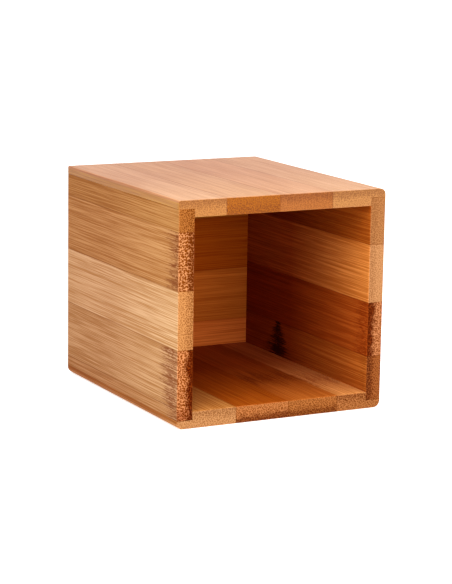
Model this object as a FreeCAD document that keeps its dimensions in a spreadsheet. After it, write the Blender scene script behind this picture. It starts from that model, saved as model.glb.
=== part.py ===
"""A square, open-ended bamboo desk holder: five boards of edge-glued strips, closed at one end.

It lies on its bottom board with the open end towards -Y. The origin is on the ground under the
middle of the box, X runs across the open end, Y into the box and Z up. Lengths are millimetres.
"""
import FreeCAD, Part
import math
import os

import Sketcher

SMALL = 1e-4  # millimetres, for comparing positions

# ---------------------------------------------------------------- driving dimensions

DIMENSIONS = (
    ("outer_width", 86.0, "across the open end"),
    ("outer_height", 84.0, "from the ground to the top"),
    ("outer_depth", 100.0, "from the open end to the closed end"),
    ("thickness", 6.3, "of the four long boards"),
    ("joint", 3.15, "depth of the rabbets that hold the side boards' ends"),
    ("panel_thickness", 3.0, "of the thin back panel"),
    ("panel_reach", 2.0, "how far the back panel reaches into the boards"),
    ("top_left_radius", 0.6, "rounding of the top board's left long edge, hardly sanded"),
    ("top_right_radius", 2.2, "rounding of its right long edge"),
    ("bottom_radius", 2.6, "rounding of the bottom board's long edges"),
    ("outer_ease", 0.3, "sanded rounding round both ends of the box"),
    ("inner_ease", 0.3, "sanded rounding round the opening"),
    ("top_glue_1", 19.1, "glue lines of the top board, from the left side"),
    ("top_glue_2", 41.0, ""),
    ("top_glue_3", 63.1, ""),
    ("bottom_glue_1", 24.3, "glue lines of the bottom board, from the left side"),
    ("bottom_glue_2", 46.3, ""),
    ("bottom_glue_3", 67.1, ""),
    ("left_glue_1", 72.4, "glue lines of the left board, above the ground"),
    ("left_glue_2", 51.0, ""),
    ("left_glue_3", 29.3, ""),
    ("left_glue_4", 7.3, ""),
    ("right_glue_1", 62.9, "glue lines of the right board, above the ground"),
    ("right_glue_2", 40.8, ""),
    ("right_glue_3", 20.2, ""),
    ("panel_glue_1", 59.8, "glue lines of the back panel, above the ground"),
    ("panel_glue_2", 38.2, ""),
    ("panel_glue_3", 16.8, ""),
)

ALIASES = {alias for alias, _, _ in DIMENSIONS}

doc = FreeCAD.newDocument("desk_holder")
sheet = doc.addObject("Spreadsheet::Sheet", "Sizes")
for row, (alias, millimetres, meaning) in enumerate(DIMENSIONS, start=1):
    sheet.set(f"A{row}", alias)
    sheet.set(f"B{row}", str(millimetres))
    sheet.set(f"C{row}", meaning)
    sheet.setAlias(f"B{row}", alias)
doc.recompute()


def formula(words):
    """An expression in which each alias is a cell of the sheet."""
    return " ".join(f"Sizes.{word}" if word in ALIASES else word for word in words.split())


def value(words):
    """What an expression of the sheet comes to, in millimetres."""
    return float(sheet.evalExpression(formula(words)))


# ---------------------------------------------------------------- sketches


def section_sketch(body, name):
    """An empty sketch on the body's own XZ plane, whose normal points along -Y, down the box."""
    plane = next(item for item in body.Origin.OriginFeatures if item.Role == "XZ_Plane")
    sketch = body.newObject("Sketcher::SketchObject", f"{body.Name}_{name}")
    sketch.AttachmentSupport = (plane, [""])
    sketch.MapMode = "FlatFace"
    return sketch


def draw_outline(sketch, corners, rounded=None, radius=None):
    """Draws level and upright lines clockwise through corners, which are pairs of expressions.

    Every line is held at its place by the sheet. The corner numbered `rounded` becomes an arc.
    """
    starts = [FreeCAD.Vector(value(x), value(y), 0) for x, y in corners]
    ends = starts[1:] + starts[:1]
    into = None if rounded is None else (rounded - 1) % len(corners)
    if rounded is not None:
        corner = starts[rounded]
        back = (starts[into] - corner).normalize() * value(radius)
        forth = (ends[rounded] - corner).normalize() * value(radius)
        ends[into] = corner + back
        starts[rounded] = corner + forth
    for line, (start, end) in enumerate(zip(starts, ends)):
        sketch.addGeometry(Part.LineSegment(start, end), False)
        hold_line(sketch, line, start, end, corners[line])
    for line in range(len(corners)):
        if line != into:
            sketch.addConstraint(
                Sketcher.Constraint("Coincident", line, 2, (line + 1) % len(corners), 1))
    if rounded is not None:
        add_rounding(sketch, into, rounded, corner + back + forth, radius)


def hold_line(sketch, line, start, end, corner):
    """Makes a line level or upright, and holds it at its corner's height or distance across."""
    level = abs(start.y - end.y) < SMALL
    sketch.addConstraint(Sketcher.Constraint("Horizontal" if level else "Vertical", line))
    distance = start.y if level else start.x
    if abs(distance) < SMALL:
        axis = -1 if level else -2
        sketch.addConstraint(Sketcher.Constraint("PointOnObject", line, 1, axis))
        return
    kind = "DistanceY" if level else "DistanceX"
    held = sketch.addConstraint(Sketcher.Constraint(kind, -1, 1, line, 1, distance))
    sketch.renameConstraint(held, f"line_{line}")
    sketch.setExpression(f"Constraints.line_{line}", formula(corner[1] if level else corner[0]))


def add_rounding(sketch, into, out_of, centre, radius):
    """Joins the end of one line to the start of another with a tangent arc, on a clockwise outline."""
    first = sketch.Geometry[out_of].StartPoint - centre
    start_angle = math.atan2(first.y, first.x)
    circle = Part.Circle(centre, FreeCAD.Vector(0, 0, 1), value(radius))
    quarter = Part.ArcOfCircle(circle, start_angle, start_angle + math.pi / 2)
    arc = sketch.addGeometry(quarter, False)
    sketch.addConstraint(Sketcher.Constraint("Tangent", into, 2, arc, 2))
    sketch.addConstraint(Sketcher.Constraint("Tangent", out_of, 1, arc, 1))
    held = sketch.addConstraint(Sketcher.Constraint("Radius", arc, value(radius)))
    sketch.renameConstraint(held, "rounding")
    sketch.setExpression("Constraints.rounding", formula(radius))


def rectangle(left, right, low, high):
    """The corners of a rectangle, from four expressions."""
    return ((left, low), (left, high), (right, high), (right, low))


# ---------------------------------------------------------------- features

BACK_END = 0.0  # along Y in a strip's own frame
OPEN_END = -value("outer_depth")


def add_pad(body, name, length, corners, rounded=None, radius=None):
    """Pads an outline down the box."""
    sketch = section_sketch(body, f"{name}_sketch")
    draw_outline(sketch, corners, rounded, radius)
    feature = body.newObject("PartDesign::Pad", f"{body.Name}_{name}")
    feature.Profile = sketch
    feature.setExpression("Length", formula(length))
    doc.recompute()


def add_panel_rabbet(body, corners):
    """Cuts the seat of the back panel into a strip's back end, and proves that it cut."""
    before = body.Shape.Volume
    sketch = section_sketch(body, "rabbet_sketch")
    draw_outline(sketch, corners)
    feature = body.newObject("PartDesign::Pocket", f"{body.Name}_rabbet")
    feature.Profile = sketch
    feature.Reversed = True
    feature.setExpression("Length", formula("panel_thickness"))
    doc.recompute()
    if body.Shape.Volume > before - SMALL:
        raise RuntimeError(f"{feature.Name} cuts nothing")


def end_edges(shape, ends, lines, arcs):
    """The edges of a shape that lie in its end planes and on one of the given lines.

    ends are distances along Y, each line is ("x" or "z", expression), and arcs says whether the
    rounded corner belongs too.
    """
    names = []
    for number, edge in enumerate(shape.Edges, start=1):
        points = [edge.valueAt(edge.FirstParameter), edge.valueAt(edge.LastParameter)]
        in_plane = any(all(abs(p.y - end) < SMALL for p in points) for end in ends)
        on_line = any(
            all(abs(getattr(p, axis) - value(words)) < SMALL for p in points)
            for axis, words in lines)
        if in_plane and (on_line or arcs and isinstance(edge.Curve, Part.Circle)):
            names.append(f"Edge{number}")
    return names


def add_easing(body, radius, ends, lines, arcs=False):
    """Rounds over those edges of a strip's ends; the radius is an alias and names the feature."""
    last = body.Tip
    feature = body.newObject("PartDesign::Fillet", f"{body.Name}_{radius}")
    feature.Base = (last, end_edges(last.Shape, ends, lines, arcs))
    feature.setExpression("Radius", formula(radius))
    doc.recompute()


def ease_opening(body, face):
    """Eases a strip's edge round the opening, where its inner face meets the open end."""
    add_easing(body, "inner_ease", (OPEN_END,), (face,))


def ease_outside(body, faces):
    """Eases a strip's outer edges at both ends of the box."""
    add_easing(body, "outer_ease", (OPEN_END, BACK_END), faces, arcs=True)


# ---------------------------------------------------------------- strips


def new_strip(name, across, up):
    """A body whose frame starts at the back end of its board, at the given place across and up."""
    body = doc.addObject("PartDesign::Body", name)
    body.Label = name
    body.setExpression("Placement.Base.x", formula(across))
    body.setExpression("Placement.Base.y", formula("outer_depth / 2"))
    body.setExpression("Placement.Base.z", formula(up))
    return body


def flat_strip(name, frame, outline, rabbet, inner, outer):
    """A strip of the top or bottom board. outline is (corners, rounded corner, radius)."""
    body = new_strip(name, *frame)
    add_pad(body, "strip", "outer_depth", *outline)
    add_panel_rabbet(body, rabbet)
    ease_opening(body, inner)
    ease_outside(body, outer)
    return body


def top_board():
    """Four strips; the two outer ones have a rounded long edge and a rabbet under it."""
    glue = ("top_glue_1", "top_glue_2", "top_glue_3")
    high = "thickness"
    first = (
        (("0", "joint"), ("0", high), (glue[0], high), (glue[0], "0"),
         ("thickness", "0"), ("thickness", "joint")), 1, "top_left_radius")
    last = (
        ((glue[2], "0"), (glue[2], high), ("outer_width", high), ("outer_width", "joint"),
         ("outer_width - thickness", "joint"), ("outer_width - thickness", "0")),
        2, "top_right_radius")
    outlines = (
        first, (rectangle(glue[0], glue[1], "0", high),),
        (rectangle(glue[1], glue[2], "0", high),), last)
    sides = ("thickness", *glue, "outer_width - thickness")
    frame = ("0 - outer_width / 2", "outer_height - thickness")
    outer = (("z", high), ("x", "0"), ("x", "outer_width"))
    return [
        flat_strip(f"top_board_strip_{number + 1}", frame, outlines[number],
                   rectangle(sides[number], sides[number + 1], "0", "panel_reach"),
                   ("z", "0"), outer)
        for number in range(4)]


def bottom_board():
    """Four strips like the top board's, upside down."""
    glue = ("bottom_glue_1", "bottom_glue_2", "bottom_glue_3")
    high = "thickness"
    step = "thickness - joint"
    first = (
        (("0", "0"), ("0", step), ("thickness", step), ("thickness", high),
         (glue[0], high), (glue[0], "0")), 0, "bottom_radius")
    last = (
        ((glue[2], "0"), (glue[2], high), ("outer_width - thickness", high),
         ("outer_width - thickness", step), ("outer_width", step), ("outer_width", "0")),
        5, "bottom_radius")
    outlines = (
        first, (rectangle(glue[0], glue[1], "0", high),),
        (rectangle(glue[1], glue[2], "0", high),), last)
    sides = ("thickness", *glue, "outer_width - thickness")
    frame = ("0 - outer_width / 2", "0")
    outer = (("z", "0"), ("x", "0"), ("x", "outer_width"))
    return [
        flat_strip(f"bottom_board_strip_{number + 1}", frame, outlines[number],
                   rectangle(sides[number], sides[number + 1], "thickness - panel_reach", high),
                   ("z", high), outer)
        for number in range(4)]


def side_board(name, across, glue, seat, inner, outer):
    """Strips from top to bottom. The end ones carry the tongues that sit in the rabbets.

    seat is the left and right of the back panel's rabbet, inner and outer the two faces' places.
    """
    inside_high = "outer_height - thickness"
    inside_low = "thickness"
    levels = (inside_high, *glue, inside_low)
    seats = ("outer_height - thickness + panel_reach", *glue, "thickness - panel_reach")
    strips = []
    for number in range(len(levels) - 1):
        body = new_strip(f"{name}_strip_{number + 1}", across, "0")
        high, low = levels[number], levels[number + 1]
        add_pad(body, "strip", "outer_depth", rectangle("0", "thickness", low, high))
        ease_opening(body, ("x", inner))
        if number == 0:
            add_pad(body, "tongue", "outer_depth",
                    rectangle("0", "thickness", inside_high, f"{inside_high} + joint"))
        if number == len(levels) - 2:
            add_pad(body, "tongue", "outer_depth",
                    rectangle("0", "thickness", f"{inside_low} - joint", inside_low))
        add_panel_rabbet(body, rectangle(*seat, seats[number + 1], seats[number]))
        ease_outside(body, (("x", outer),))
        strips.append(body)
    return strips


def back_panel():
    """Four thin strips laid across the closed end, flush with the boards' back ends."""
    left = "thickness - panel_reach"
    right = "outer_width - thickness + panel_reach"
    levels = (
        "outer_height - thickness + panel_reach", "panel_glue_1", "panel_glue_2",
        "panel_glue_3", "thickness - panel_reach")
    strips = []
    for number in range(4):
        body = new_strip(f"back_panel_strip_{number + 1}", "0 - outer_width / 2", "0")
        add_pad(body, "strip", "panel_thickness",
                rectangle(left, right, levels[number + 1], levels[number]))
        strips.append(body)
    return strips


def holder():
    """Every strip of the box."""
    left_glue = ("left_glue_1", "left_glue_2", "left_glue_3", "left_glue_4")
    right_glue = ("right_glue_1", "right_glue_2", "right_glue_3")
    return [
        *top_board(),
        *bottom_board(),
        *side_board("left_board", "0 - outer_width / 2", left_glue,
                    ("thickness - panel_reach", "thickness"), "thickness", "0"),
        *side_board("right_board", "outer_width / 2 - thickness", right_glue,
                    ("0", "panel_reach"), "0", "thickness"),
        *back_panel(),
    ]


# ---------------------------------------------------------------- checks and export


def check(strips):
    """Stops if any feature failed or any strip isn't one valid solid."""
    for item in doc.Objects:
        if {"Invalid", "Error"} & set(item.State):
            raise RuntimeError(f"{item.Label} failed: {item.State}")
    for strip in strips:
        shape = strip.Shape
        if shape.isNull() or not shape.isValid() or len(shape.Solids) != 1:
            raise RuntimeError(f"{strip.Label} isn't one valid solid")


strips = holder()
doc.recompute()
check(strips)
os.makedirs("parts", exist_ok=True)
for strip in strips:
    strip.Shape.exportStep(f"parts/{strip.Label}.step")
print(f"{len(strips)} strips, {sum(strip.Shape.Volume for strip in strips) / 1000:.1f} cm3")
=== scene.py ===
"""The looks of a square bamboo desk holder: 21 glued strips, each built as its own detailed mesh.

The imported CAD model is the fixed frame. Blender units are metres; names that end in _MM hold
millimetres, which the meshes are drawn in before they are scaled down.
"""

import math

import bpy
import numpy as np
from mathutils import Matrix, Vector, geometry


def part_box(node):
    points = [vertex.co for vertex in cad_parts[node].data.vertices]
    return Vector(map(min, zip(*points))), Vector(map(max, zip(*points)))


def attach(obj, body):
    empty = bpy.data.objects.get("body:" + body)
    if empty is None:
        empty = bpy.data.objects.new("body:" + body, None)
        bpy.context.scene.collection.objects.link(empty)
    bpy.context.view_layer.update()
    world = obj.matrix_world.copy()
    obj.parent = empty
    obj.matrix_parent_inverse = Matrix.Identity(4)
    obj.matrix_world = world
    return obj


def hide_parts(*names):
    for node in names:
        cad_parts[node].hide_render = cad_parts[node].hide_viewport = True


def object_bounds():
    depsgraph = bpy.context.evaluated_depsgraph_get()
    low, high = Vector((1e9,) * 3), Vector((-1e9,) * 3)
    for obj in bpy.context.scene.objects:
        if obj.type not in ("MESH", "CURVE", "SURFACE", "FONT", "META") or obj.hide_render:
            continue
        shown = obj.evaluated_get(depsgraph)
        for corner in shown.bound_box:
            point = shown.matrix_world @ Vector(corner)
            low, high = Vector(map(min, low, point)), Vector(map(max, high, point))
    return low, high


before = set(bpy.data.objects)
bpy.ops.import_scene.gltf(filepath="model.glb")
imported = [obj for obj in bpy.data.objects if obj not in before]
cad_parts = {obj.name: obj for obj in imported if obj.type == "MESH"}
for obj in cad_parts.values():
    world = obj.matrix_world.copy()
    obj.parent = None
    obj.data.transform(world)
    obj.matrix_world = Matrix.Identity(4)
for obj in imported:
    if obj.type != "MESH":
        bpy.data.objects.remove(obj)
CAD_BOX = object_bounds()

MM = 0.001
LOW_MM = np.array(CAD_BOX[0]) / MM
HIGH_MM = np.array(CAD_BOX[1]) / MM

# ---------------------------------------------------------------- sizes that repeat the design

THICKNESS_MM = 6.3  # of the four long boards
JOINT_MM = 3.15  # depth of the rabbets that hold the side boards' ends
PANEL_MM = 3.0  # thickness of the back panel
REACH_MM = 2.0  # how far the back panel reaches into the boards
OUTER_EASE_MM = 0.3  # sanded rounding round both ends of the box
INNER_EASE_MM = 0.3  # sanded rounding round the opening
LEFT_RADII_MM = {"top_board": 0.6, "bottom_board": 2.6}  # of the box's long edges
RIGHT_RADII_MM = {"top_board": 2.2, "bottom_board": 2.6}

# ---------------------------------------------------------------- mesh detail

GROOVE_MM = 0.05  # depth of the fine groove that sanding leaves at a glue line
SPACING_MM = 0.5  # between points round a strip's section
STATION_MM = 2.0  # between sections along a strip
ARC_STEPS = 8  # segments in a rounded long edge
EASE_STEPS = 5  # segments in an eased end edge
END_GRID_MM = 0.34  # between points of an end face
END_JITTER = 0.2  # how far those points stray, against their spacing
END_MARGIN = 0.45  # how far they keep from the outline's points, against their spacing
INSIDE_ONLY = 1  # the triangulation's choice of triangles
MERGE_MM = 1e-6  # points closer than this would be one
PIT_SHARE = 0.33  # of those points are the pit of a fibre bundle
PIT_MM = 0.018  # depth of such a pit
RELIEF_MM = 0.014  # height of the undulation that planing leaves along the fibres
RELIEF_RATE = (1.1, 1.1, 0.02)  # of that undulation per millimetre, across, deep and along
RELIEF_WAVES = 7  # sines that make it up
SHARP_DEGREES = 40  # edges that turn more than this are shaded as corners


class Outline:
    """A strip's section as a closed loop of key points, in (across, depth) of its board.

    Depth is 0 on the outside of the box. Each key has its place in front of the panel's rabbet,
    its place behind the rabbet's shoulder, and the inward directions of the outer and inner skins.
    """

    def __init__(self):
        self.keys = []

    def add(self, place, rear=None, outer=(0, 0), inner=(0, 0)):
        self.keys.append((place, place if rear is None else rear, outer, inner))

    def mirrored(self, width):
        """The same section seen from the other side of a board of that width."""
        other = Outline()
        flip, shift = np.array((-1, 1)), np.array((width, 0))
        for place, rear, outer, inner in np.array(self.keys, float):
            other.add(place * flip + shift, rear * flip + shift, outer * flip, inner * flip)
        return other

    def sampled(self):
        """Points along the loop, anticlockwise: their front, rear, outer and inner arrays."""
        keys = np.array(self.keys, float)
        rows = []
        for here, there in zip(keys, np.roll(keys, -1, axis=0)):
            length = np.linalg.norm(there[:2] - here[:2], axis=1).max()
            count = max(1, math.ceil(length / SPACING_MM))
            rows.extend(here + (there - here) * step / count for step in range(count))
        rows = np.array(rows)
        x, y = rows[:, 0].T
        clockwise = np.sum(x * np.roll(y, -1) - np.roll(x, -1) * y) < 0
        return (rows[::-1] if clockwise else rows).transpose(1, 0, 2)


INWARD = (0, 1)  # from the outer skin
OUTWARD = (0, -1)  # from the inner skin


def plain_outline(start, end, thickness=THICKNESS_MM, reach=REACH_MM):
    """A strip with a glue line on both sides."""
    g = GROOVE_MM
    seat = thickness - reach
    outline = Outline()
    outline.add((start, g), outer=INWARD)
    outline.add((start + g, 0), outer=INWARD)
    outline.add((end - g, 0), outer=INWARD)
    outline.add((end, g), outer=INWARD)
    outline.add((end, thickness - g), (end, seat - g), inner=OUTWARD)
    outline.add((end - g, thickness), (end - g, seat), inner=OUTWARD)
    outline.add((start + g, thickness), (start + g, seat), inner=OUTWARD)
    outline.add((start, thickness - g), (start, seat - g), inner=OUTWARD)
    return outline


def corner_outline(end, radius):
    """The outermost strip of the top or bottom board, with the box's side at 0 across.

    It has the rounded long edge, and the rabbet that a side board's end sits in.
    """
    g = GROOVE_MM
    step = THICKNESS_MM - JOINT_MM
    seat = THICKNESS_MM - REACH_MM
    outline = Outline()
    outline.add((g, step), outer=(1, 0))
    outline.add((0, step - g), outer=(1, 0))
    for turn in range(ARC_STEPS + 1):
        angle = turn / ARC_STEPS * math.pi / 2
        inward = (math.cos(angle), math.sin(angle))
        outline.add((radius - radius * inward[0], radius - radius * inward[1]), outer=inward)
    outline.add((end - g, 0), outer=INWARD)
    outline.add((end, g), outer=INWARD)
    outline.add((end, THICKNESS_MM - g), (end, seat - g), inner=OUTWARD)
    outline.add((end - g, THICKNESS_MM), (end - g, seat), inner=OUTWARD)
    outline.add((THICKNESS_MM + g, THICKNESS_MM), (THICKNESS_MM + g, seat), inner=OUTWARD)
    outline.add((THICKNESS_MM, THICKNESS_MM - g), (THICKNESS_MM, seat - g), inner=OUTWARD)
    outline.add((THICKNESS_MM, step))
    return outline


def tongue_outline(start, end, inside_end):
    """The end strip of a side board: `end` lies in a rabbet, and inside_end in the box's corner."""
    sign = 1 if end > start else -1
    g = GROOVE_MM
    seat = THICKNESS_MM - REACH_MM
    seat_end = inside_end + sign * REACH_MM
    outline = Outline()
    outline.add((start, g), outer=INWARD)
    outline.add((start + sign * g, 0), outer=INWARD)
    outline.add((end - sign * g, 0), outer=INWARD)
    outline.add((end, g), outer=INWARD)
    outline.add((end, THICKNESS_MM))
    outline.add((seat_end, THICKNESS_MM))
    outline.add((seat_end - sign * g, THICKNESS_MM), (seat_end, seat))
    outline.add((inside_end, THICKNESS_MM), (inside_end, seat))
    outline.add(
        (inside_end - sign * g, THICKNESS_MM), (inside_end - sign * g, seat), inner=OUTWARD)
    outline.add((start + sign * g, THICKNESS_MM), (start + sign * g, seat), inner=OUTWARD)
    outline.add((start, THICKNESS_MM - g), (start, seat - g), inner=OUTWARD)
    return outline


# ---------------------------------------------------------------- from outlines to meshes


def smooth_noise(points, seed):
    """A smooth random height for each row of points, about -1 to 1: a sum of seeded sines."""
    rng = np.random.default_rng(seed)
    total = np.zeros(len(points))
    for _ in range(RELIEF_WAVES):
        total += np.sin(points @ rng.normal(size=points.shape[1]) + rng.uniform(0, 2 * math.pi))
    return total / math.sqrt(RELIEF_WAVES)


class Run:
    """Where a strip starts and ends along its board, and where its panel rabbet begins."""

    def __init__(self, start, end, outer_ease, front_ease, shoulder=None):
        self.start, self.end, self.shoulder = start, end, shoulder
        self.outer_ease = outer_ease  # of the outer skin, at both ends
        self.front_ease = front_ease  # of the inner skin, at the start only

    def stations(self):
        """Rows of (along, share of the easing, behind the shoulder, how much is end grain)."""
        turns = [step / EASE_STEPS * math.pi / 2 for step in range(EASE_STEPS + 1)]
        ease = [(self.outer_ease * (1 - math.sin(a)), 1 - math.cos(a), math.sin(a)) for a in turns]
        rows = [(self.start + away, share, False, grain) for away, share, grain in ease[::-1]]
        first = self.start + self.outer_ease
        last = self.end - self.outer_ease
        rabbet = self.shoulder is not None
        stop = self.shoulder - GROOVE_MM if rabbet else last
        count = round((stop - first) / STATION_MM)
        steps = range(1, count + 1 if rabbet else count)
        rows += [(first + (stop - first) * step / count, 0, False, 0) for step in steps]
        if rabbet:
            rows += [(self.shoulder, 0, True, 0), ((self.shoulder + last) / 2, 0, True, 0)]
        rows += [(self.end - away, share, rabbet, grain) for away, share, grain in ease]
        return rows


def strip_points(outline, run, seed):
    """The rings of points that sweep an outline along its run, and their end grain."""
    front, rear, outer, inner = outline.sampled()
    rings, grains = [], []
    rows = run.stations()
    for number, (along, share, behind, grain) in enumerate(rows):
        at_start = number < len(rows) / 2
        easing = outer * run.outer_ease + inner * run.front_ease * at_start
        section = (rear if behind else front) + easing * share
        column = np.full((len(section), 1), along)
        relief = smooth_noise(np.hstack([section, column]) * RELIEF_RATE, seed) * RELIEF_MM
        section = section + (outer + inner) * (relief * (1 - share))[:, None]
        rings.append(np.hstack([section, column]))
        grains.append(np.full(len(section), grain, float))
    return rings, grains


def ring_faces(rings, count):
    """Quads between neighbouring rings of count points each."""
    return [
        (ring * count + here, ring * count + (here + 1) % count,
         (ring + 1) * count + (here + 1) % count, (ring + 1) * count + here)
        for ring in range(rings - 1) for here in range(count)]


def end_face(loop, rng):
    """Extra points inside a closed loop, and triangles over the loop's points and those."""
    low, high = loop.min(0) + END_GRID_MM / 2, loop.max(0)
    rows = np.arange(low[1], high[1], END_GRID_MM * math.sqrt(3) / 2)
    columns = np.arange(low[0], high[0], END_GRID_MM)
    grid = np.array([
        (across + row % 2 * END_GRID_MM / 2, depth)
        for row, depth in enumerate(rows) for across in columns])
    grid += rng.uniform(-END_JITTER, END_JITTER, grid.shape) * END_GRID_MM
    extra = grid[inside_loop(grid, loop, END_GRID_MM * END_MARGIN)]
    corners = [Vector(point) for point in np.vstack([loop, extra])]
    edges = [(here, (here + 1) % len(loop)) for here in range(len(loop))]
    whole = [list(range(len(loop)))]
    made = geometry.delaunay_2d_cdt(corners, edges, whole, INSIDE_ONLY, MERGE_MM)
    points, triangles, origins = made[0], made[2], made[3]
    if len(points) != len(corners):
        raise RuntimeError("an end face gained or lost points")
    return extra, [[origins[corner][0] for corner in triangle] for triangle in triangles]


def inside_loop(points, loop, margin):
    """Which points are inside a loop and further than margin from its own points."""
    x, y = points[:, :1], points[:, 1:]
    x1, y1 = loop.T
    x2, y2 = np.roll(loop, -1, axis=0).T
    rise = np.where(y2 == y1, MERGE_MM, y2 - y1)  # a level edge is never crossed
    crossed = ((y1 > y) != (y2 > y)) & (x < x1 + (y - y1) / rise * (x2 - x1))
    away = np.hypot(x - x1, y - y1).min(axis=1)
    return (crossed.sum(axis=1) % 2 == 1) & (away > margin)


def strip_mesh(name, outline, run, board, seed):
    """A strip's closed mesh, in metres.

    For the material, each point keeps its (across, depth, along) in millimetres, and how much of
    it is end grain.
    """
    rng = np.random.default_rng(seed)
    rings, grains = strip_points(outline, run, seed)
    count = len(rings[0])
    faces = ring_faces(len(rings), count)
    total = len(rings) * count
    for ring, outward in ((0, -1), (len(rings) - 1, 1)):
        extra, triangles = end_face(rings[ring][:, :2], rng)
        pits = (rng.random(len(extra)) < PIT_SHARE) * PIT_MM
        along = rings[ring][0, 2] - outward * pits
        rings.append(np.column_stack([extra, along]))
        grains.append(np.ones(len(extra)))
        for triangle in triangles:
            corners = [c + ring * count if c < count else c - count + total for c in triangle]
            faces.append(corners[::outward])
        total += len(extra)
    local = np.vstack(rings)
    if board.handed < 0:
        faces = [face[::-1] for face in faces]
    mesh = bpy.data.meshes.new(name)
    mesh.from_pydata((board.place(local) * MM).tolist(), [], faces)
    mesh.attributes.new("local", "FLOAT_VECTOR", "POINT").data.foreach_set(
        "vector", local.astype(np.float32).ravel())
    mesh.attributes.new("end_grain", "FLOAT", "POINT").data.foreach_set(
        "value", np.concatenate(grains).astype(np.float32))
    mesh.shade_smooth()
    mesh.set_sharp_from_angle(angle=math.radians(SHARP_DEGREES))
    mesh.validate()
    return mesh


class Board:
    """One of the five boards: where its (across, depth, along) directions lie in the frame."""

    def __init__(self, origin, across, depth, along):
        self.origin = np.array(origin, float)
        self.axes = np.array((across, depth, along), float)
        self.handed = np.linalg.det(self.axes)

    def place(self, local):
        return local @ self.axes + self.origin


X, Y, Z = np.eye(3)
BOARDS = {
    "top_board": Board((LOW_MM[0], 0, HIGH_MM[2]), X, -Z, Y),
    "bottom_board": Board((LOW_MM[0], 0, LOW_MM[2]), X, Z, Y),
    "left_board": Board((LOW_MM[0], 0, 0), Z, X, Y),
    "right_board": Board((HIGH_MM[0], 0, 0), Z, -X, Y),
    "back_panel": Board((0, HIGH_MM[1], 0), Z, -Y, X),
}


# ---------------------------------------------------------------- strips


def across_range(node):
    """Where a CAD node starts and ends across its board, in millimetres."""
    board = BOARDS[board_of(node)]
    corners = (np.array(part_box(node)) / MM - board.origin) @ board.axes.T
    return np.sort(corners[:, 0])


def board_of(node):
    return node.rsplit("_strip_", 1)[0]


def long_run():
    """The run of a strip of the four long boards."""
    return Run(LOW_MM[1], HIGH_MM[1], OUTER_EASE_MM, INNER_EASE_MM, HIGH_MM[1] - PANEL_MM)


def outline_of(node, is_first, is_last):
    """The section of one strip, from its place in its board."""
    start, end = across_range(node)
    kind = board_of(node)
    if kind == "back_panel":
        return plain_outline(start, end, PANEL_MM, 0)
    if kind in LEFT_RADII_MM and is_first:
        return corner_outline(end, LEFT_RADII_MM[kind])
    if kind in RIGHT_RADII_MM and is_last:
        width = HIGH_MM[0] - LOW_MM[0]
        return corner_outline(width - start, RIGHT_RADII_MM[kind]).mirrored(width)
    if kind in ("left_board", "right_board") and is_first:
        return tongue_outline(start, end, HIGH_MM[2] - THICKNESS_MM)
    if kind in ("left_board", "right_board") and is_last:
        return tongue_outline(end, start, LOW_MM[2] + THICKNESS_MM)
    return plain_outline(start, end)


def run_of(node):
    """Where a strip starts and ends along its board."""
    if board_of(node) != "back_panel":
        return long_run()
    low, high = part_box(node)
    return Run(low[0] / MM, high[0] / MM, GROOVE_MM, GROOVE_MM)


def strip_piece(node, is_first, is_last, seed):
    """Builds the piece that stands for one CAD strip."""
    outline = outline_of(node, is_first, is_last)
    mesh = strip_mesh(f"bamboo_{node}", outline, run_of(node), BOARDS[board_of(node)], seed)
    piece = bpy.data.objects.new(f"bamboo_{node}", mesh)
    bpy.context.scene.collection.objects.link(piece)
    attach(piece, "root")
    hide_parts(node)
    return piece


# ---------------------------------------------------------------- bamboo


def linear(red, green, blue):
    """A colour given as 0 to 255 per channel, as the shader wants it: the sRGB curve undone."""
    channels = (value / 255 for value in (red, green, blue))
    return tuple(c / 12.92 if c <= 0.04045 else ((c + 0.055) / 1.055) ** 2.4 for c in channels)


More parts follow.
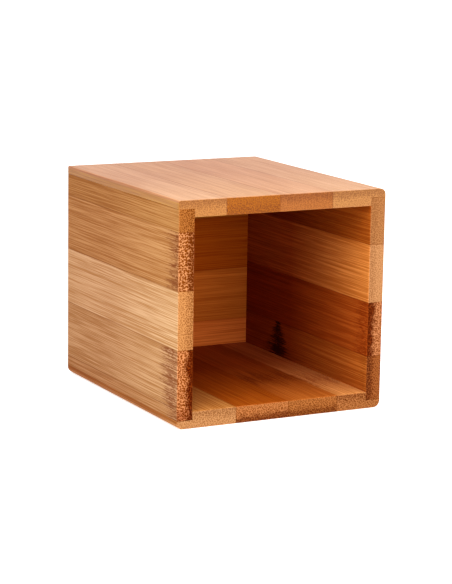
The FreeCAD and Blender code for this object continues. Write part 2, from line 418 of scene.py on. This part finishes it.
class Shader:
    """A material's node tree, with one method for each kind of node it needs."""

    def __init__(self, name):
        self.material = bpy.data.materials.new(name)
        self.material.use_nodes = True
        self.tree = self.material.node_tree
        self.surface = self.tree.nodes["Principled BSDF"]

    def add(self, kind, inputs=(), **settings):
        """A node with its inputs linked to sockets or set to values, by name or number."""
        node = self.tree.nodes.new(kind)
        for name, value in settings.items():
            setattr(node, name, value)
        for name, value in dict(inputs).items():
            self.feed(node.inputs[name], value)
        return node

    def feed(self, socket, value):
        if isinstance(value, bpy.types.NodeSocket):
            self.tree.links.new(value, socket)
        else:
            socket.default_value = value

    def attribute(self, name):
        return self.add("ShaderNodeAttribute", attribute_name=name)

    def math(self, operation, *values, clamp=False):
        node = self.add("ShaderNodeMath", enumerate(values), operation=operation, use_clamp=clamp)
        return node.outputs[0]

    def multiplied(self, vector, factors):
        inputs = {0: vector, 1: factors}
        return self.add("ShaderNodeVectorMath", inputs, operation="MULTIPLY").outputs[0]

    def added(self, vector, other):
        return self.add("ShaderNodeVectorMath", {0: vector, 1: other}).outputs[0]

    def noise(self, vector, detail=2.0, roughness=0.5):
        inputs = {"Vector": vector, "Scale": 1.0, "Detail": detail, "Roughness": roughness}
        return self.add("ShaderNodeTexNoise", inputs).outputs

    def ramp(self, value, low, high, start=0.0, end=1.0):
        """value carried smoothly from low..high to start..end, and held beyond them."""
        inputs = {"Value": value, "From Min": low, "From Max": high, "To Min": start, "To Max": end}
        return self.add(
            "ShaderNodeMapRange", inputs, interpolation_type="SMOOTHSTEP").outputs[0]

    def spread(self, value, low, high):
        """value carried evenly from low..high to 0..1, and held beyond them."""
        inputs = {"Value": value, "From Min": low, "From Max": high}
        return self.add("ShaderNodeMapRange", inputs).outputs[0]

    def mix(self, factor, first, second, blend="MIX"):
        node = self.add("ShaderNodeMix", data_type="RGBA", blend_type=blend)
        for name, value in (("Factor_Float", factor), ("A_Color", first), ("B_Color", second)):
            socket = next(item for item in node.inputs if item.identifier == name)
            if isinstance(value, tuple) and len(value) == 3:
                value = (*value, 1.0)
            self.feed(socket, value)
        return next(item for item in node.outputs if item.identifier == "Result_Color")


# Each look is the strip's own colours and marks. Colours are 0 to 255.
#   outer, inner: the long grain on the outside of the box and on the inside
#   end: the end grain
#   dense: 1 where the bundles crowd towards the inside of the box, -1 towards the outside
#   crowding: how much darker that side of the end is, 0 to 1
#   pitch: between neighbouring fibre bundles, millimetres
#   speckle: how dark the bundles are in the end grain, 0 to 1
#   streaks: how strongly single fibres show
#   painted_back_shade: painted shade, how much the inside darkens towards the closed end
#   skin: the depth over which the outer colour turns to the inner one, millimetres
#   ior, roughness: the gloss of its finish
#   stain: the shade of its node bands
#   nodes: growth rings of the culm that cross it: (along, half width where the strip starts
#       across its board, half width where it ends, strength), millimetres
#   inner_marks: whether they show on the inside of the box only
COMMON_LOOK = {
    "end": (160, 94, 40), "dense": 1, "crowding": 0.3, "pitch": 0.62, "speckle": 0.9,
    "streaks": 1.0, "painted_back_shade": 0.8, "skin": (2.2, 4.2), "ior": 1.04, "roughness": 0.3,
    "stain": (0.66, 0.48, 0.43), "nodes": (), "inner_marks": False}
BOARD_LOOKS = {
    "top_board": {"streaks": 0.6, "ior": 1.26},
    "back_panel": {"streaks": 0.6, "painted_back_shade": 0, "skin": (0.5, 2.5)},
}
LOOKS = {
    "top_board_strip_1": {
        "outer": (194, 142, 94), "inner": (176, 128, 38), "end": (140, 88, 38), "dense": -1,
        "speckle": 0.55, "skin": (0.3, 1.2)},
    "top_board_strip_2": {
        "outer": (189, 134, 82), "inner": (164, 88, 30), "end": (124, 64, 0), "crowding": 0.1,
        "speckle": 0.7},
    "top_board_strip_3": {
        "outer": (192, 134, 84), "inner": (168, 92, 32), "end": (130, 72, 24), "dense": -1,
        "speckle": 0.55},
    "top_board_strip_4": {
        "outer": (199, 146, 97), "inner": (180, 106, 44), "end": (142, 92, 44), "dense": -1,
        "speckle": 0.55},
    "left_board_strip_1": {
        "outer": (154, 108, 58), "inner": (156, 80, 24), "end": (128, 74, 28), "crowding": 0.1},
    "left_board_strip_2": {
        "outer": (160, 114, 66), "inner": (160, 84, 30), "end": (156, 100, 56), "crowding": 0.6,
        "pitch": 0.74, "speckle": 1.0, "stain": (0.55, 0.38, 0.36), "nodes": ((-50, 8, 8, 1.0),)},
    "left_board_strip_3": {
        "outer": (178, 140, 96), "inner": (184, 112, 48), "end": (152, 100, 52), "crowding": 0.25,
        "speckle": 0.75, "streaks": 0.8},
    "left_board_strip_4": {
        "outer": (168, 128, 84), "inner": (168, 92, 36), "end": (156, 96, 52), "crowding": 1.0,
        "pitch": 0.68, "speckle": 1.0, "stain": (0.55, 0.38, 0.36), "nodes": ((-46, 8, 9, 1.0),)},
    "left_board_strip_5": {
        "outer": (160, 116, 72), "inner": (156, 80, 28), "end": (138, 78, 40), "crowding": 0.8,
        "pitch": 0.66, "speckle": 1.0, "stain": (0.55, 0.38, 0.36), "nodes": ((-49, 6, 7, 0.8),)},
    "right_board_strip_1": {
        "outer": (150, 98, 44), "inner": (154, 78, 20), "end": (132, 84, 44), "crowding": 0.1,
        "speckle": 0.55},
    "right_board_strip_2": {
        "outer": (170, 120, 68), "inner": (204, 126, 54), "end": (148, 100, 58), "crowding": 0.15,
        "speckle": 0.55},
    "right_board_strip_3": {
        "outer": (146, 88, 36), "inner": (164, 78, 22), "end": (150, 92, 52), "crowding": 1.0,
        "pitch": 0.66, "speckle": 0.8, "nodes": ((-48, 7, 7, 0.8),)},
    "right_board_strip_4": {
        "outer": (156, 104, 50), "inner": (176, 96, 32), "end": (120, 64, 26), "crowding": 0.5,
        "stain": (0.16, 0.1, 0.1), "nodes": ((-50, 5, 5, 0.3), (19.5, 10.5, 2, 1.5)),
        "inner_marks": True},
    "bottom_board_strip_1": {
        "outer": (166, 114, 62), "inner": (188, 124, 58), "end": (150, 102, 58), "crowding": 0.2,
        "speckle": 0.7, "painted_back_shade": 0.75},
    "bottom_board_strip_2": {
        "outer": (146, 90, 38), "inner": (164, 80, 16), "end": (142, 84, 40), "dense": -1,
        "crowding": 0.7, "pitch": 0.64},
    "bottom_board_strip_3": {
        "outer": (152, 98, 44), "inner": (178, 96, 32), "end": (132, 76, 32), "dense": -1,
        "crowding": 0.5, "stain": (0.45, 0.25, 0.18), "nodes": ((-14, 10, 12, 0.7),),
        "inner_marks": True},
    "bottom_board_strip_4": {
        "outer": (168, 118, 64), "inner": (212, 140, 72), "end": (134, 80, 38), "crowding": 0.2,
        "stain": (0.6, 0.4, 0.35), "nodes": ((-24, 14, 5, 0.7),), "inner_marks": True},
    "back_panel_strip_1": {
        "outer": (156, 102, 46), "inner": (160, 84, 26)},
    "back_panel_strip_2": {
        "outer": (144, 90, 38), "inner": (148, 64, 8)},
    "back_panel_strip_3": {
        "outer": (158, 106, 52), "inner": (168, 84, 24)},
    "back_panel_strip_4": {
        "outer": (170, 120, 66), "inner": (192, 96, 36)},
}

# Shades, against the strip's own colour.
LIGHT_FIBRE = (1.22, 1.29, 1.5)
DARK_FIBRE = (0.79, 0.65, 0.52)
CROWDED = (0.32, 0.14, 0.04)  # the end grain where the bundles crowd
BUNDLE = (0.34, 0.18, 0.04)  # a bundle in the end grain
WEAR_AND_HIGHLIGHT = (1.35, 1.4, 1.6)  # the arrises: paled by wear, and a painted highlight along them
GLUE = (0.72, 0.6, 0.5)  # a glue line
BACK_SHADE_TINT = (0.38, 0.06, 0.01)  # painted shade towards the closed end, deepest on the inside
BRIGHTEST = 0.95  # no channel of a colour is brighter than this

GLUE_MM = 0.3  # how far the glue darkens the wood
BACK_SHADE_MM = 60  # how far in from the open end the painted shade goes on deepening
OUTER_BACK_SHADE = 0.3  # how much of that painted shade the outside gets over that length
INSIDE_MM = (3.3, 4.5)  # the depth over which the outside's painted shade gives way to the inside's

# How fast each kind of mark varies: noise cells per millimetre across, deep and along.
FIBRE_RATE = (3.0, 3.0, 0.028)
BAND_RATE = (0.3, 0.3, 0.007)  # groups of fibres
PATCH_RATE = (0.06, 0.06, 0.025)  # slow changes of tone
WANDER_RATE = (0.4, 0.4, 0.01)  # the fibres' drift
KNOT_RATE = (0.7, 0.7, 0.4)  # their tangle at a node
FUZZ_RATE = (1.5, 1.5, 0.12)  # the ragged edges of a node band
CLOUD_RATE = (0.35, 0.35, 0.2)  # how unevenly the bundles crowd
WEAR_AND_HIGHLIGHT_RATE = (0.25, 0.25, 0.25)  # how unevenly the arrises' wear and painted highlight vary

CENTRE = (-0.5, -0.5, -0.5)  # brings a noise of 0 to 1 to both sides of 0
WANDER_MM = (0.25, 1.4, 0.0)  # how far the fibres drift
KNOT_MM = 0.9  # how far a node bends them
OFFSETS_MM = (20, 400)  # the random shift that gives each strip its own pattern

MIDDLE_TONE = 0.4  # 0 is the palest fibre and 1 the darkest
FIBRE_TONE = 5.0  # this and the next four: how strongly each mark moves that tone
BAND_TONE = 0.2
PATCH_TONE = 0.15
BUNDLE_TONE = 0.4
FLANK_TONE = 0.2
FLANK = (0.15, 0.5)  # where a strip darkens towards its glue lines: from its middle, in widths

BUNDLE_RADIUS = 0.3  # against the distance between bundles
CROWDED_GROWTH = 0.1  # added to it where the bundles crowd
NODE_GROWTH = 0.12  # added to it in a node
BUNDLE_EDGE = (1.3, 0.7)  # where a bundle starts and is full, against its radius
BUNDLE_SCATTER = 0.75  # 0 is a regular lattice of bundles
CROWDED_PART = (0.4, 0.9)  # where the end grain darkens, from the sparse side 0 to the dense 1

NODE_FUZZ = 2.0  # how ragged a node band is
NODE_FALL = 0.6  # how fast it fades away from its middle
NODE_EDGE = (0.15, 0.95)  # the level at which it starts and is full
NODE_STAIN = (0.4, 0.7)  # on the palest fibres, and how much more on the darkest
NODE_SPECKLE = 0.15  # how much darker it makes the bundles in the end grain

WEAR_AND_HIGHLIGHT_RANGE = (0.35, 0.6)  # the noise in the least and in the most worn and highlighted places
WEAR_AND_HIGHLIGHT_STRENGTH = (0.8, 4.0)  # of the wear and painted highlight there

FIBRE_ROUGHNESS = 0.16  # added to the look's own, from fibre to fibre
END_ROUGHNESS = 0.1  # added in the end grain
BUNDLE_RELIEF = -0.6  # bundles lie lower than the wood round them, whose own relief is 1
BUMP_STRENGTH = 0.35
BUMP_MM = 0.06


def tinted(colour, factors):
    return tuple(min(channel * factor, BRIGHTEST) for channel, factor in zip(colour, factors))


def bamboo_material(name, look, edges, seed):
    """Sanded, oiled bamboo. Its fibres are drawn in the strip's own grain directions.

    edges are where the strip starts and ends across its board, in millimetres.
    """
    shader = Shader(name)
    local = shader.attribute("local").outputs["Vector"]
    grain = shader.attribute("end_grain").outputs["Fac"]
    offset = np.random.default_rng(seed).uniform(*OFFSETS_MM, 3)
    place = shader.added(local, tuple(offset))
    axes = shader.add("ShaderNodeSeparateXYZ", {0: local}).outputs
    across = shader.spread(axes[0], *edges)
    node = node_mask(shader, look["nodes"], place, across, axes[2])
    if look["inner_marks"]:
        node = shader.math("MULTIPLY", node, shader.ramp(axes[1], *look["skin"]))
    fibres = fibre_space(shader, place, node)
    thinly_to_densely = (0, THICKNESS_MM) if look["dense"] > 0 else (THICKNESS_MM, 0)
    dense = shader.ramp(axes[1], *thinly_to_densely)
    dots = bundle_dots(shader, look, fibres, dense, node)
    strands = shader.noise(shader.multiplied(fibres, FIBRE_RATE), roughness=0.6)[0]
    tone = grain_tone(shader, look, place, fibres, across, strands, dots)
    side = long_grain(shader, look, axes, tone, node)
    end = cut_grain(shader, look, place, dense, dots, node)
    colour = shader.mix(grain, side, end)
    # Paler arrises: wear, and a painted highlight along them.
    colour = shader.mix(wear_and_highlight_edge(shader, place, grain), colour, WEAR_AND_HIGHLIGHT, "MULTIPLY")
    colour = shader.mix(glue_line(shader, axes[0], edges), colour, GLUE, "MULTIPLY")
    shader.feed(shader.surface.inputs["Base Color"], colour)
    finish(shader, look, strands, dots, grain)
    return shader.material


def wear_and_highlight_edge(shader, place, grain):
    """Up to 1 along the eased arrises round the box's ends: their wear, and a painted highlight."""
    patchy = shader.noise(shader.multiplied(place, WEAR_AND_HIGHLIGHT_RATE), detail=3.0)[0]
    strength = shader.ramp(patchy, *WEAR_AND_HIGHLIGHT_RANGE, *WEAR_AND_HIGHLIGHT_STRENGTH)
    turned = shader.math("MULTIPLY", grain, shader.math("SUBTRACT", 1.0, grain))
    return shader.math("MULTIPLY", turned, strength, clamp=True)


def glue_line(shader, across, edges):
    """1 on the strip's two glue lines, 0 beyond the wood that the glue darkens."""
    away = [
        shader.math("ABSOLUTE", shader.math("SUBTRACT", across, float(edge))) for edge in edges]
    return shader.ramp(shader.math("MINIMUM", *away), 0, GLUE_MM, 1, 0)


def node_mask(shader, nodes, place, across, along):
    """The strength of a ring on the dark fuzzy band where it crosses the strip, 0 elsewhere."""
    fuzz = shader.noise(shader.multiplied(place, FUZZ_RATE), detail=3.0, roughness=0.7)[0]
    total = 0.0
    for centre, first, last, strength in nodes:
        away = shader.math("ABSOLUTE", shader.math("SUBTRACT", along, centre))
        half_width = shader.math("MULTIPLY_ADD", across, last - first, first)
        inside = shader.math("DIVIDE", away, half_width)
        ragged = shader.math("MULTIPLY", fuzz, NODE_FUZZ)
        level = shader.math("MULTIPLY_ADD", inside, -NODE_FALL, ragged)
        mask = shader.ramp(level, *NODE_EDGE, 0.0, strength)
        total = shader.math("MAXIMUM", total, mask)
    return total


def fibre_space(shader, place, node):
    """The strip's place bent as its fibres wander, and knotted where a node crosses."""
    wander, knot = (
        shader.added(shader.noise(shader.multiplied(place, rate), detail=1.0)["Color"], CENTRE)
        for rate in (WANDER_RATE, KNOT_RATE))
    amount = shader.math("MULTIPLY", node, KNOT_MM)
    knot = shader.add(
        "ShaderNodeVectorMath", {0: knot, "Scale": amount}, operation="SCALE").outputs[0]
    bent = shader.added(place, shader.multiplied(wander, WANDER_MM))
    return shader.added(bent, knot)


def bundle_dots(shader, look, fibres, dense, node):
    """1 in the middle of a fibre bundle. Bundles are fatter where they crowd and in a node."""
    cells = {"Vector": fibres, "Scale": 1 / look["pitch"], "Randomness": BUNDLE_SCATTER}
    distance = shader.add(
        "ShaderNodeTexVoronoi", cells, voronoi_dimensions="2D").outputs["Distance"]
    size = shader.math("MULTIPLY_ADD", dense, CROWDED_GROWTH, BUNDLE_RADIUS)
    size = shader.math("MULTIPLY_ADD", node, NODE_GROWTH, size)
    return shader.ramp(shader.math("DIVIDE", distance, size), *BUNDLE_EDGE)


def grain_tone(shader, look, place, fibres, across, strands, dots):
    """0 on the palest fibres of the long grain and 1 on the darkest."""
    band = shader.noise(shader.multiplied(fibres, BAND_RATE))[0]
    patch = shader.noise(shader.multiplied(place, PATCH_RATE), detail=1.0)[0]
    streaks = look["streaks"]
    tone = MIDDLE_TONE
    for share, weight in ((strands, FIBRE_TONE), (band, BAND_TONE), (patch, PATCH_TONE)):
        spread = shader.math("SUBTRACT", share, 0.5)
        tone = shader.math("MULTIPLY_ADD", spread, weight * streaks, tone)
    from_middle = shader.math("ABSOLUTE", shader.math("SUBTRACT", across, 0.5))
    flank = shader.ramp(from_middle, *FLANK)
    tone = shader.math("MULTIPLY_ADD", flank, FLANK_TONE * streaks, tone)
    return shader.math("MULTIPLY_ADD", dots, BUNDLE_TONE * streaks, tone, clamp=True)


def long_grain(shader, look, axes, tone, node):
    """The colour of the strip's faces and sides, with painted shade towards the closed end."""
    skin = shader.ramp(axes[1], *look["skin"])
    colours = [
        shader.mix(skin, *(tinted(linear(*look[side]), fibre) for side in ("outer", "inner")))
        for fibre in (LIGHT_FIBRE, DARK_FIBRE)]
    colour = shader.mix(tone, *colours)
    # Painted shade: darker towards the closed end, most on the inside, a little on the outside.
    if look["painted_back_shade"]:
        depth = shader.spread(axes[2], LOW_MM[1], LOW_MM[1] + BACK_SHADE_MM)
        reach = shader.ramp(axes[1], *INSIDE_MM, OUTER_BACK_SHADE, look["painted_back_shade"])
        colour = shader.mix(shader.math("MULTIPLY", depth, reach), colour, BACK_SHADE_TINT, "MULTIPLY")
    least, more = NODE_STAIN
    stain = shader.math("MULTIPLY", node, shader.math("MULTIPLY_ADD", tone, more, least))
    return shader.mix(stain, colour, look["stain"], "MULTIPLY")


def cut_grain(shader, look, place, dense, dots, node):
    """The colour of the strip's ends, where the bundles show as dots."""
    cloud = shader.noise(shader.multiplied(place, CLOUD_RATE))[0]
    crowd = shader.math("ADD", dense, shader.math("SUBTRACT", cloud, 0.5))
    crowd = shader.ramp(crowd, *CROWDED_PART, 0.0, look["crowding"])
    colour = shader.mix(crowd, tinted(linear(*look["end"]), LIGHT_FIBRE), CROWDED, "MULTIPLY")
    strength = shader.math("MULTIPLY_ADD", node, NODE_SPECKLE, look["speckle"])
    return shader.mix(shader.math("MULTIPLY", dots, strength), colour, BUNDLE, "MULTIPLY")


def finish(shader, look, strands, dots, grain):
    """The oiled surface: its gloss varies from fibre to fibre, with a little of their relief."""
    roughness = shader.math("MULTIPLY_ADD", strands, FIBRE_ROUGHNESS, look["roughness"])
    roughness = shader.math("MULTIPLY_ADD", grain, END_ROUGHNESS, roughness)
    shader.feed(shader.surface.inputs["Roughness"], roughness)
    height = shader.math("MULTIPLY_ADD", dots, BUNDLE_RELIEF, strands)
    relief = {"Height": height, "Strength": BUMP_STRENGTH, "Distance": BUMP_MM * MM}
    bump = shader.add("ShaderNodeBump", relief)
    shader.feed(shader.surface.inputs["Normal"], bump.outputs[0])
    shader.surface.inputs["IOR"].default_value = look["ior"]


# ---------------------------------------------------------------- camera, floor and light

AIM_M = Vector((0.0017, -0.0014, 0.0389))  # what the middle of the picture shows
AZIMUTH_DEGREES = -27.62
ELEVATION_DEGREES = 11.04
ROLL_DEGREES = 0.93
DISTANCE_M = 0.8156
LENS_MM = 129.4
CLIP_M = (0.01, 50)
FLOOR_M = 16  # width of the floor
FLOOR_GAP_MM = 0.1  # keeps the floor clear of the uneven underside
FLOOR_SHADE = 0.9  # 1 is white
FLOOR_GLOW = 0.6  # the floor is lit from below too, so that shadows stay faint
FLOOR_ROUGHNESS = (0.7, 0.9)
FLOOR_RATE = (40, 40, 40)  # of its unevenness, noise cells per metre
STUDIO_STRENGTH = 1.0
SOFTBOXES = (  # name, place in metres, watts, width in metres
    ("key", (-0.2, -0.2, 0.25), 0.6, 0.2),
    ("front", (0.06, -0.55, 0.17), 1.6, 0.25),
    ("overhead", (0, 0.05, 0.6), 1.1, 0.5),
)


def make_camera():
    """The photograph's viewpoint: from the left of the open end, a little above it."""
    camera = bpy.data.objects.new("camera", bpy.data.cameras.new("camera"))
    bpy.context.scene.collection.objects.link(camera)
    camera.data.lens = LENS_MM
    azimuth, elevation = math.radians(AZIMUTH_DEGREES), math.radians(ELEVATION_DEGREES)
    back = Vector((
        math.sin(azimuth) * math.cos(elevation),
        -math.cos(azimuth) * math.cos(elevation),
        math.sin(elevation)))
    turn = (-back).to_track_quat("-Z", "Y").to_matrix()
    roll = Matrix.Rotation(math.radians(ROLL_DEGREES), 3, "Z")
    camera.matrix_world = Matrix.Translation(AIM_M + back * DISTANCE_M) @ (turn @ roll).to_4x4()
    camera.data.clip_start, camera.data.clip_end = CLIP_M
    bpy.context.scene.camera = camera


def make_floor():
    """A plain pale floor that runs out of the picture."""
    bpy.ops.mesh.primitive_plane_add(size=FLOOR_M)
    floor = bpy.context.object
    floor.name = "floor"
    floor.location.z = -FLOOR_GAP_MM * MM
    shader = Shader("pale_floor")
    place = shader.add("ShaderNodeTexCoord").outputs["Object"]
    grain = shader.noise(shader.multiplied(place, FLOOR_RATE))[0]
    shader.feed(shader.surface.inputs["Base Color"], (FLOOR_SHADE,) * 3 + (1,))
    shader.feed(
        shader.surface.inputs["Roughness"], shader.ramp(grain, 0, 1, *FLOOR_ROUGHNESS))
    shader.feed(shader.surface.inputs["Emission Color"], (1, 1, 1, 1))
    shader.feed(shader.surface.inputs["Emission Strength"], FLOOR_GLOW)
    floor.data.materials.append(shader.material)


def make_world():
    """The white studio round the object."""
    world = bpy.data.worlds.new("studio")
    bpy.context.scene.world = world
    world.use_nodes = True
    background = world.node_tree.nodes["Background"]
    background.inputs["Color"].default_value = (1, 1, 1, 1)
    background.inputs["Strength"].default_value = STUDIO_STRENGTH


def add_softbox(name, place, watts, size):
    """A square soft light that points at the middle of the picture."""
    light = bpy.data.lights.new(name, "AREA")
    light.energy, light.size = watts, size
    lamp = bpy.data.objects.new(name, light)
    bpy.context.scene.collection.objects.link(lamp)
    lamp.location = place
    lamp.visible_camera = False
    lamp.visible_glossy = False
    lamp.rotation_mode = "QUATERNION"
    lamp.rotation_quaternion = (AIM_M - Vector(place)).to_track_quat("-Z", "Y")


# ---------------------------------------------------------------- the scene

make_camera()
make_floor()
make_world()
for softbox in SOFTBOXES:
    add_softbox(*softbox)
bpy.context.scene.view_settings.view_transform = "Standard"

nodes = sorted(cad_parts)
for number, node in enumerate(nodes, start=1):
    board = board_of(node)
    strips = [other for other in nodes if board_of(other) == board]
    piece = strip_piece(node, node == strips[0], node == strips[-1], number)
    look = {**COMMON_LOOK, **BOARD_LOOKS.get(board, {}), **LOOKS[node]}
    material = bamboo_material(f"bamboo_{node}", look, across_range(node), number)
    piece.data.materials.append(material)
